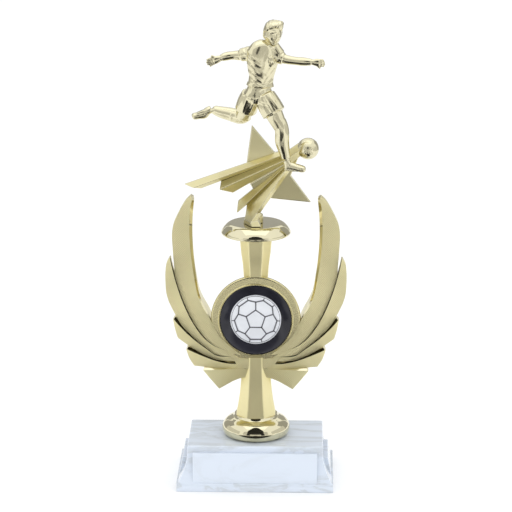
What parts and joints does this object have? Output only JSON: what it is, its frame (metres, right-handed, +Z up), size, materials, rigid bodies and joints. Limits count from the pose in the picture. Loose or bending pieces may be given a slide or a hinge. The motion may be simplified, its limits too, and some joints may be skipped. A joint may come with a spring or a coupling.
{
  "type": "figure trophy",
  "caption": "Free-standing sports trophy: coved marble-look base, winged gold riser with a round insert, and a ball player running over a star and comet tail on top.",
  "frame": {"origin": "centre of the base's underside, on the table", "axes": "+Z up along the tie rod, -Y is the front with the insert and the plate panel, +X to the right seen from the front"},
  "size_m": [0.129, 0.074, 0.3343],
  "materials": {
    "marble_plastic": "gloss white with pale grey marble veins",
    "plaster": "cast, rough",
    "card": "matt",
    "steel": "bright zinc plated",
    "gold_bright": "vacuum-metallised gold, mirror bright",
    "gold_textured": "vacuum-metallised gold over a fine moulded texture",
    "gold_satin": "vacuum-metallised gold, satin",
    "gold_player": "vacuum-metallised gold, polished",
    "foam": "matt adhesive foam",
    "black_gloss": "gloss black",
    "ball_print": "silver-white print with grey lines",
    "brass": "turned"
  },
  "bodies": {
    "base": {"base_shell": "marble_plastic", "base_weight": "plaster", "base_cover": "card", "tie_rod": "steel", "rod_nut": "steel", "lock_washer": "steel", "flat_washer": "steel"},
    "riser": {"riser_foot": "gold_bright", "riser_front": "gold_textured", "riser_back": "gold_textured", "riser_cap": "gold_bright", "insert_pad": "foam", "insert_bezel": "black_gloss", "insert_disc": "ball_print"},
    "figure": {"star_plate": "gold_satin", "comet_tail": "gold_satin", "player": "gold_player", "ball": "gold_player", "figure_bush": "brass"}
  },
  "joints": [
    {"name": "riser_swivel", "type": "hinge", "parent": "base", "child": "riser", "pos_m": [0, 0, 0.032], "axis": [0, 0, 1], "continuous": true},
    {"name": "figure_swivel", "type": "hinge", "parent": "riser", "child": "figure", "pos_m": [0, 0, 0.1895], "axis": [0, 0, 1], "continuous": true}
  ]
}
